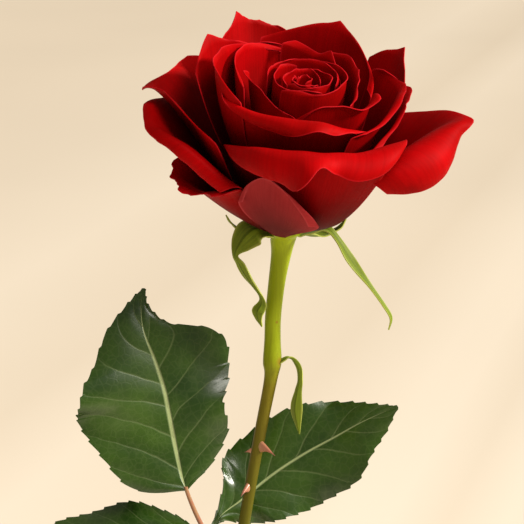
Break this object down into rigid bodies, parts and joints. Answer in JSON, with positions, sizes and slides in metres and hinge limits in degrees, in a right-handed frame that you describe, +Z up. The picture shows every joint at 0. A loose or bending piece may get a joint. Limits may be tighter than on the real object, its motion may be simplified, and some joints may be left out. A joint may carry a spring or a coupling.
{
  "type": "cut rose in bud vase",
  "caption": "Open cut rose with layered rolled petals, sepals, a thorny stem and toothed leaflets, leaning in a slender round-bellied bud vase.",
  "frame": {"origin": "middle of the vase's flat base", "axes": "+Z up, -Y towards the open face of the bloom, +X to the side that the stem leans to"},
  "size_m": [0.1454, 0.0937, 0.3434],
  "materials": {
    "petal": "soft velvety petal, lighter along the rim",
    "sepal": "matt yellow-green",
    "leaf": "glossy dark green with pale veins",
    "stem": "smooth green stem",
    "prickle": "reddish, semi-gloss",
    "glaze": "plain off-white glaze"
  },
  "bodies": {
    "root": {"bract_leaf": "sepal", "leaf_rachis": "stem", "leaflet_end": "leaf", "leaflet_left": "leaf", "leaflet_right": "leaf", "petal_back_left": "petal", "petal_back_left_inner": "petal", "petal_back_right": "petal", "petal_back_right_inner": "petal", "petal_core_1": "petal", "petal_core_2": "petal", "petal_core_3": "petal", "petal_core_4": "petal", "petal_core_5": "petal", "petal_core_6": "petal", "petal_core_7": "petal", "petal_cup_front": "petal", "petal_cup_left": "petal", "petal_front_lip": "petal", "petal_front_low": "petal", "petal_front_under": "petal", "petal_inner_back": "petal", "petal_inner_cup": "petal", "petal_inner_front": "petal", "petal_inner_left": "petal", "petal_inner_right": "petal", "petal_left_hook": "petal", "petal_left_lobe": "petal", "petal_left_ragged": "petal", "petal_outer_back_left": "petal", "petal_outer_back_right": "petal", "petal_right_wing": "petal", "petal_side_right": "petal", "petal_side_right_outer": "petal", "prickle_1": "prickle", "prickle_2": "prickle", "prickle_3": "prickle", "prickle_4": "prickle", "receptacle": "sepal", "sepal_back": "sepal", "sepal_back_left": "sepal", "sepal_back_right": "sepal", "sepal_left": "sepal", "sepal_right": "sepal", "stem": "stem", "vase": "glaze"}
  },
  "joints": []
}
